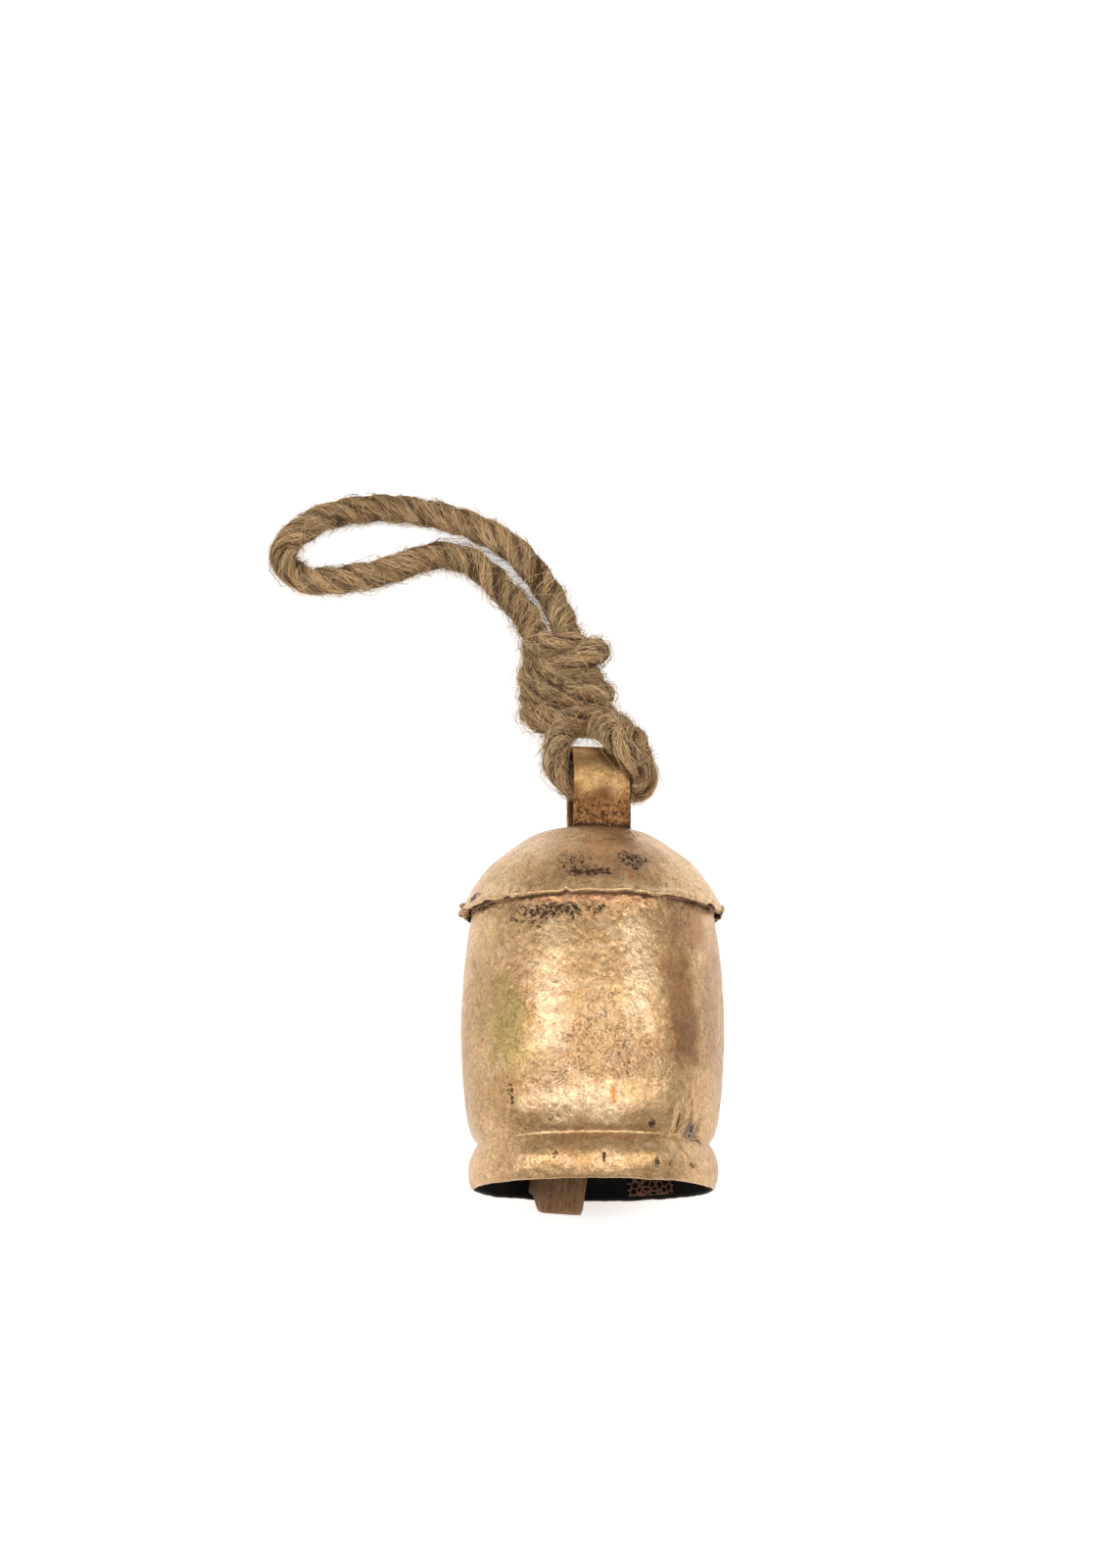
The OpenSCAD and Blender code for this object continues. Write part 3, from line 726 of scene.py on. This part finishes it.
def paint(piece, radius, height, angle, stains_and_highlights, soots, crusts):
    """Gives a turned piece its stains and painted highlights, its soot and its crackled stretches."""
    stain_or_highlight_amount = np.zeros(len(angle))
    stain_or_highlight = np.tile((0.35, 0.2, 0.1), (len(angle), 1))
    for k, (a, h, half_w, half_h, strength, colour) in enumerate(stains_and_highlights):
        mask = near(angle, height, radius, a, h, half_w, half_h, 200 + k) * strength
        share = mask / np.maximum(np.maximum(mask, stain_or_highlight_amount), 1e-6)
        stain_or_highlight = stain_or_highlight + (np.array(colour) - stain_or_highlight) * share[:, None]
        stain_or_highlight_amount = np.maximum(stain_or_highlight_amount, mask)
    soot = np.zeros(len(angle))
    for k, (a, h, half_w, half_h, strength) in enumerate(soots):
        soot = np.maximum(soot, near(angle, height, radius, a, h, half_w, half_h, 300 + k) * strength)
    crust = 0.25 + 0.30 * layered(angle * 7, height / 14, 401)
    for k, (a, h, half_w, half_h, strength) in enumerate(crusts):
        crust = np.maximum(crust, near(angle, height, radius, a, h, half_w, half_h, 410 + k) * strength)
    skin(piece, stain_or_highlight, stain_or_highlight_amount, soot, crust)


def inset(points, thickness):
    """An outline moved inwards, square to its own run."""
    run = unit(np.gradient(points, axis=0))
    moved = points + thickness * np.column_stack([-run[:, 1], run[:, 0]])
    moved[:, 0] = np.maximum(moved[:, 0], 0.02)
    return moved


def resampled(outline, step):
    fine = smooth([(r, h, 0) for r, h in outline], 24)
    return evenly(fine, step)[:, :2]


def sheet_loop(outline, thickness, step, lip_steps=4):
    """A closed section of sheet: outer run, rounded edge, inner run, rounded edge."""
    outer = resampled(outline, step)
    inner = inset(outer, thickness)[::-1]
    middle = (outer[-1] + inner[0]) / 2
    heading = unit(outer[-1] - outer[-2])
    arc = np.pi * np.arange(1, lip_steps) / lip_steps
    far = middle + spin(arc, outer[-1] - middle, heading * thickness / 2)
    middle = (outer[0] + inner[-1]) / 2
    heading = unit(outer[0] - outer[1])
    near_end = middle + spin(arc, inner[-1] - middle, heading * thickness / 2)
    return np.vstack([outer, far, inner, near_end]), len(outer)


# Single dents: angle, height, half sizes along both in mm, depth.
BODY_DENTS = [
    (42, 19, 1.6, 6, 0.9), (49, 18, 1.4, 5, 0.7), (57, 17, 1.6, 5, 0.9), (66, 18, 1.6, 5, 0.5),
    (-19, 20, 5, 4, 0.55), (28, 19, 3, 3, 0.5), (14, 38, 9, 7, 0.30), (-130, 22, 4, 7, 0.8),
    (150, 18, 3, 6, 0.8)]


def body_dents(angle, height):
    """How far the hand-beaten body stands off its even outline."""
    mid = ease(height, 10, 30) * (1 - ease(height, 90, 99))
    waves = 0.55 * field(angle * 11 / TAU, height / 70 + 3, 41, wrap=11) * mid
    facets = 0.26 * round_bell(angle, 22, height / 11, 43, 2)
    grain = 0.10 * round_bell(angle, 140, height / 2.0, 47, 2)
    rifts = np.abs(round_bell(angle, 64, height / 4.4, 49, 3))
    grain = grain - 0.16 * (1 - ease(rifts, 0.0, 0.11))
    band = 0.30 * field(angle * 17 / TAU, height / 9, 53, wrap=17) * (1 - ease(height, 12, 20))
    dents = waves + facets + grain + band
    for a, h, half_w, half_h, depth in BODY_DENTS:
        gap = (angle - math.radians(a) + math.pi) % TAU - math.pi
        dents = dents - depth * np.exp(-(gap * 43 / half_w) ** 2 - ((height - h) / half_h) ** 2)
    return dents


def make_shell(name, node, outline, thickness, columns, offset, brass, marks):
    """Sheet turned about the bell's axis, moved by offset(angle, height, radius), black inside."""
    section, outer_rows = sheet_loop(outline, thickness, SHELL_STEP)
    rows = len(section)
    angle = np.tile(TAU * np.arange(columns) / columns, rows)
    radius, height = np.repeat(section, columns, axis=0).T
    moved, shift = offset(angle, height, radius)
    height = height + shift
    shell = make_mesh(name, on_bell(moved, height, angle), grid_faces(rows, columns, round_rows=True),
                      [brass, SOOT], "bell", (node,), flip=True)
    kinds = np.zeros(len(shell.data.polygons), dtype=np.int32)
    kinds[(outer_rows + 2) * columns:(rows - 2) * columns] = 1
    shell.data.polygons.foreach_set("material_index", kinds)
    paint(shell, moved, height, angle, *marks)


def make_body():
    def offset(angle, height, radius):
        wobble = 0.35 * field(angle * 7 / TAU, 0 * angle, 61, wrap=7) * (1 - ease(height, 4, 14))
        lip = 0.35 * round_bell(angle, 40, 0 * angle + 2.5, 67) * (1 - ease(height, 0, 4))
        return radius + body_dents(angle, height) + wobble, lip

    make_shell("bell_shell", "bell_body", BODY_OUTLINE, SHEET_T, 480, offset, BRASS,
               (BODY_STAINS_AND_HIGHLIGHTS, BODY_SOOT, BODY_CRUST))


def crown_ragged(angle):
    """The crown's torn rim: how far it dips below its even edge."""
    coarse = round_bell(angle, 40, 0 * angle + 1.5, 71, 3)
    notch = ease(field(angle * 90 / TAU, 0 * angle + 4.5, 73, wrap=90), 0.25, 0.75)
    return -0.85 * coarse + 0.9 * notch - 0.5


def make_crown():
    def offset(angle, height, radius):
        edge = 1 - ease(height, RIM_H, RIM_H + 5)
        bead = np.exp(-((height - RIM_H - 0.6) / 1.3) ** 2)
        lumps = round_bell(angle, 120, height / 2.2, 79, 2)
        facets = 0.55 * round_bell(angle, 13, height / 12, 83, 2)
        outward = facets * ease(radius, 2, 14) * (1 - edge) + bead * (0.75 + 0.65 * lumps)
        outward = outward + 0.11 * round_bell(angle, 160, height / 1.8, 89, 2)
        rifts = np.abs(round_bell(angle, 60, height / 3.6, 91, 3))
        outward = outward - 0.16 * (1 - ease(rifts, 0.0, 0.12)) * ease(radius, 4, 16)
        return np.maximum(radius + outward * ease(radius, 0.5, 6), 0.01), edge * crown_ragged(angle)

    make_shell("crown_dome", "crown_cap", CROWN_OUTLINE, SHEET_T + 0.1, 400, offset, CROWN_BRASS,
               (CROWN_STAINS, CROWN_SOOT, CROWN_CRUST))


def blob(rng, centre, size):
    """A small lump: a rough ball of 8 by 6 points."""
    around, rows = 8, 5
    angle, lift = np.meshgrid(TAU * np.arange(around) / around,
                              math.pi * (np.arange(rows) + 0.7) / (rows + 0.4), indexing="xy")
    rough = 1 + rng.uniform(-0.28, 0.28, angle.shape)
    points = np.stack([np.cos(angle) * np.sin(lift), np.sin(angle) * np.sin(lift), np.cos(lift)], axis=-1)
    points = (points * rough[..., None] * np.array(size)).reshape(-1, 3) + centre
    faces = [tuple(f) for f in grid_faces(rows, around)]
    faces += [tuple(range(around)), tuple(range(rows * around - 1, (rows - 1) * around - 1, -1))]
    return points, faces


def make_crumbs():
    """Crumbs of braze and sheet along the crown's rim."""
    rng = np.random.RandomState(17)
    verts, faces, at = [], [], 0
    spots = [(a, 0.5) for a in rng.uniform(-180, 180, 150)]
    spots += [(a, 1.15) for a in rng.uniform(-92, -76, 16)] + [(a, 0.95) for a in rng.uniform(70, 88, 9)]
    for degrees, scale in spots:
        angle = math.radians(degrees)
        height = RIM_H + float(crown_ragged(np.array([angle]))[0]) + rng.uniform(-0.2, 0.7)
        radius = BELLY_R - 0.5 + rng.uniform(-0.5, 0.35)
        centre = on_bell(np.array([radius]), np.array([height]), np.array([angle]))[0]
        size = np.array([rng.uniform(0.6, 1.5), rng.uniform(0.5, 1.0), rng.uniform(0.5, 1.1)])
        size = size * scale * 1.3
        points, quads = blob(rng, centre, size)
        points[:, 2] = np.maximum(points[:, 2], 0.05)
        verts.append(points)
        faces.extend(tuple(at + v for v in f) for f in quads)
        at += len(points)
    crumbs = make_mesh("rim_crumbs", np.vstack(verts), faces, CROWN_BRASS, "bell")
    skin(crumbs, (0.34, 0.2, 0.1), 0.35, 0.42, 0.5)


def make_rim_braze():
    """The coppery run of braze in the corner between the body and the crown's rim."""
    columns, rows = 360, 10
    t = np.linspace(0, 1, rows)
    angle = np.tile(TAU * np.arange(columns) / columns, rows)
    part = np.repeat(t, columns)
    wander = round_bell(angle, 30, 0 * angle + 0.5, 97)
    height = RIM_H + 2.4 - part * (3.6 + 1.1 * wander)
    body_r = np.interp(height, [h for _, h in BODY_OUTLINE], [r for r, _ in BODY_OUTLINE])
    radius = body_r + 1.5 * (1 - part) ** 1.6 + 0.25 + body_dents(angle, height) * ease(part, 0, 0.5)
    radius = radius + 0.12 * round_bell(angle, 120, height, 99) - 0.5 * ease(part, 0.85, 1)
    outer = on_bell(radius, height, angle)
    inner = on_bell(np.minimum(radius - 0.8, body_r - 0.3), height, angle)
    points = np.vstack([outer, inner[::-1].reshape(rows, columns, 3)[:, ::-1].reshape(-1, 3)])
    faces = grid_faces(2 * rows, columns, round_rows=True)
    make_mesh("rim_braze", points, faces, COPPER, "bell", ("crown_braze",), flip=True)


def make_seam():
    """The lap seam inside the body: the sheet's own overlapping edge, and the net of braze."""
    rows, columns = 120, 40
    start, spread = math.radians(162), math.radians(27)
    height = np.repeat(np.linspace(1.2, 95, rows), columns)
    part = np.tile(np.linspace(0, 1, columns), rows)
    wander = 0.02 * layered(height / 12, 0 * height, 103)
    angle = start + wander - spread * part
    outline = resampled(BODY_OUTLINE, 1.0)
    body_r = np.interp(height, outline[:, 1], outline[:, 0]) + body_dents(angle % TAU, height) - SHEET_T
    lift = 0.9 * (1 - ease(part, 0.75, 1.0)) + 0.12 * layered(angle * 40, height / 3, 107)
    top = on_bell(body_r - lift, height, angle)
    under = on_bell(body_r + 0.35, height, angle)
    points = np.vstack([top, under])
    count = rows * columns
    faces = [tuple(f) for f in grid_faces(rows, columns, round_columns=False)]
    faces += [tuple(count + v for v in f[::-1]) for f in faces]
    edge = [r * columns for r in range(rows)] + [(rows - 1) * columns + c for c in range(1, columns)]
    edge += [r * columns + columns - 1 for r in range(rows - 2, -1, -1)]
    edge += list(range(columns - 2, 0, -1))
    for k, a in enumerate(edge):
        b = edge[(k + 1) % len(edge)]
        faces.append((a, b, count + b, count + a))
    seam = make_mesh("seam_lap", points, faces, NET, "bell", ("seam_braze",), flip=True)
    net = (1 - ease(height, 5, 26)) + 0.5 * layered(part * 6, height / 7, 109)
    give(seam, "net", np.tile(net, 2))


make_body()
make_crown()
make_crumbs()
make_rim_braze()
make_seam()


# ---------- the strap
def make_strap():
    """Flat bar along a bent line: tab, leg, arch, leg, tab, with worn round edges."""
    thick, width, reach = STRAP_T, STRAP_W, STRAP_REACH
    crown_y = CROWN_H + MOUTH_Y
    tab_y = crown_y - 4.0
    corner = 1.6
    bends = [(-3.0, tab_y), (-reach + corner, tab_y)]
    bends += [(-reach + corner * (1 - math.sin(a)), tab_y + corner * (1 - math.cos(a)))
              for a in np.linspace(0, math.pi / 2, 6)[1:]]
    bends += [(-reach, y) for y in np.linspace(tab_y + corner + 1, ARCH_Y - 0.7, 24)]
    arch = [(-reach * math.cos(a), ARCH_Y + reach * math.sin(a)) for a in np.linspace(0, math.pi, 40)]
    line = np.array(bends + arch + [(-z, y) for z, y in bends[::-1]])
    run = unit(np.gradient(line, axis=0))
    out = np.column_stack([-run[:, 1], run[:, 0]])
    # The bar's section: a rounded rectangle, as (across, thickness) points.
    round_r = 0.55
    ring = []
    for cx, cy, start in ((1, 1, 0), (-1, 1, 1), (-1, -1, 2), (1, -1, 3)):
        for a in np.linspace(0, math.pi / 2, 4):
            turn = a + start * math.pi / 2
            ring.append((cx * (width / 2 - round_r) + round_r * math.cos(turn),
                         cy * (thick / 2 - round_r) + round_r * math.sin(turn)))
        if start % 2 == 0:
            ring.extend((cx * (width / 2 - round_r) * (1 - 2 * t), cy * thick / 2)
                        for t in np.linspace(0, 1, 22)[1:-1])
    ring = np.array(ring)
    rows, columns = len(line), len(ring)
    along = run_length(np.column_stack([line, 0 * line[:, 0]]))
    u, v = np.repeat(along, columns), np.tile(ring[:, 0], rows)
    dents = 0.13 * layered(u / 6, v / 5, 113) + 0.05 * layered(u / 1.6, v / 1.6, 127)
    nicks = 0.22 * layered(u / 2.6, 0 * v + 2 * np.sign(v), 131) * ease(np.abs(v), 9, 10)
    side = STRAP_AXIS
    deep = np.cross(side, (0, 1, 0))
    deep = deep * np.sign(deep[2])
    across = v - np.sign(v) * np.abs(nicks)
    lift = np.tile(ring[:, 1], rows)
    lift = lift + dents * np.sign(lift)
    z, y = (np.repeat(line[:, k], columns) + lift * np.repeat(out[:, k], columns) for k in (0, 1))
    points = (np.array([ARCH_X, 0, ARCH_Z]) + across[:, None] * side + z[:, None] * deep
              + y[:, None] * np.array([0, 1, 0]))
    faces = [tuple(f) for f in grid_faces(rows, columns)]
    faces += [tuple(range(columns))[::-1], tuple(range((rows - 1) * columns, rows * columns))]
    strap = make_mesh("strap", points, faces, STRAP_BRASS, "bell", ("strap_handle",))
    foot = 1 - ease(y, crown_y + 4, crown_y + 22)
    ragged = 0.3 * layered(u / 5, v / 5, 137)
    black = 1 - ease(y, crown_y - 1, crown_y + 3.5)
    skin(strap, (0.14, 0.045, 0.010), ease(foot + ragged, 0.25, 0.85) * 0.95,
         np.maximum(0.45 * foot + 0.2, black), 0.35)


make_strap()


# ---------- the clapper
def make_clapper():
    """The wooden block: sawn faces, worn edges, one corner rounded off at its free end."""
    half, length = BLOCK_SIDE / 2, BLOCK_LENGTH
    roll, lean = math.radians(BLOCK_ROLL), math.radians(BLOCK_LEAN)
    run_link = unit(LINK_BAR - PIVOT_BAR)
    right = np.array([1.0, 0, 0])
    run = run_link * math.cos(lean) - right * math.sin(lean)
    side = right * math.cos(lean) + run_link * math.sin(lean)
    other = np.cross(run, side)
    a = side * math.cos(roll) + other * math.sin(roll)
    b = other * math.cos(roll) - side * math.sin(roll)
    bevel, per_side, rows = 0.8, 15, 110
    ring = []
    for k in range(4):
        for t in np.linspace(-half + bevel, half - bevel, per_side):
            ring.append(((half, t), (-t, half), (-half, -t), (t, -half))[k])
    ring = np.array(ring)
    columns = len(ring)
    t = np.linspace(0, length, rows)
    u, v = np.repeat(t, columns), np.tile(np.arange(columns), rows)
    cross = np.tile(ring, (rows, 1))
    rough = 0.10 * layered(v / 1.7, u / 14, 139) + 0.08 * layered(v / 4, u / 1.4, 149)
    chips = 0.7 * ease(layered(v / per_side * 2 + 0.5, u / 7, 151), 0.45, 0.8)
    reach = np.hypot(cross[:, 0], cross[:, 1])
    at_edge = ease(reach, half * 1.2, half * 1.37)
    scale = 1 + (rough - chips * at_edge - 0.35 * at_edge) / reach
    # Both ends draw in a little; the free end's low left corner is rounded away.
    end = ease(u, length - 1.2, length) + 1 - ease(u, 0, 1.2)
    scale = scale * (1 - 0.045 * end)
    direction = cross @ np.array([[a[0], a[2]], [b[0], b[2]]])
    low_left = ease(-(direction[:, 0] + 0.25 * direction[:, 1]), 4, 9)
    cut = 4.5 * low_left * ease(u, length - 9, length) ** 2
    across = (cross[:, :1] * a + cross[:, 1:] * b) * scale[:, None]
    points = LINK_BAR + run * (BLOCK_START + u - cut)[:, None] + across
    faces = [tuple(f) for f in grid_faces(rows, columns)]
    # End faces: rings that shrink to the middle, a little uneven.
    verts = [points]
    total = len(points)
    for first, sign in ((0, -1), ((rows - 1) * columns, 1)):
        last = np.arange(first, first + columns)
        base = points[last]
        centre = base.mean(axis=0)
        for shrink in (0.9, 0.72, 0.5, 0.26):
            ring_points = centre + (base - centre) * shrink
            bumps = 0.16 * layered(np.arange(columns) / 3 + shrink * 9, np.full(columns, shrink * 5), 157)
            ring_points = ring_points + run * (sign * (0.18 + bumps))[:, None]
            new = np.arange(total, total + columns)
            verts.append(ring_points)
            total += columns
            for k in range(columns):
                k2 = (k + 1) % columns
                quad = (last[k], last[k2], new[k2], new[k])
                faces.append(quad if sign > 0 else quad[::-1])
            last = new
        faces.append(tuple(last) if sign > 0 else tuple(last[::-1]))
    points = np.vstack(verts)
    block = make_mesh("clapper_wood_block", points, faces, WOOD, "clapper",
                      ("clapper_block",), flip=True)
    away = points - LINK_BAR
    give(block, "grain", np.column_stack([away @ a, away @ b, away @ run]))
    give(block, "worn", 0.55 * ease(away @ run, length + BLOCK_START - 1.5, length + BLOCK_START + 0.2))


make_clapper()

for node in ("clapper_staple", "clapper_link", "clapper_eye"):
    mesh = frame["nodes"][node].data
    mesh.materials.clear()
    mesh.materials.append(WIRE)


# ---------- the stage
def make_floor():
    size = 3.0
    mesh = bpy.data.meshes.new("floor")
    mesh.from_pydata([(-size, -size, 0), (size, -size, 0), (size, size, 0), (-size, size, 0)], [],
                     [(0, 1, 2, 3)])
    mesh.materials.append(floor_material("pale_floor"))
    stood("floor", mesh)


def softbox(name, place, size, power):
    """A lamp that points at the bell. Its place and size in metres, its power in watts."""
    data = bpy.data.lights.new(name, "AREA")
    data.shape = "RECTANGLE"
    data.size, data.size_y = size
    data.energy = power
    lamp = stood(name, data)
    lamp.location = place
    lamp.rotation_euler = (BELL_MIDDLE - Vector(place)).to_track_quat("-Z", "Y").to_euler()


def make_light():
    world = bpy.data.worlds.new("studio")
    world.use_nodes = True
    background = world.node_tree.nodes["Background"]
    # The room is darker at the level of the floor than overhead.
    links, nodes = world.node_tree.links, world.node_tree.nodes
    split = nodes.new("ShaderNodeSeparateXYZ")
    ramp = nodes.new("ShaderNodeMapRange")
    for key, number in (("From Max", 0.75), ("To Min", WORLD_LOW), ("To Max", WORLD_HIGH)):
        ramp.inputs[key].default_value = number
    links.new(nodes.new("ShaderNodeTexCoord").outputs["Generated"], split.inputs[0])
    links.new(split.outputs["Z"], ramp.inputs["Value"])
    links.new(ramp.outputs[0], background.inputs["Strength"])
    background.inputs["Color"].default_value = (1.0, 0.985, 0.965, 1)
    bpy.context.scene.world = world
    softbox("left_box", (-0.94, 0.05, 1.10), (0.38, 1.5), 8)
    softbox("right_box", (0.66, 0.05, 1.25), (0.30, 1.5), 7.5)


make_floor()
make_light()
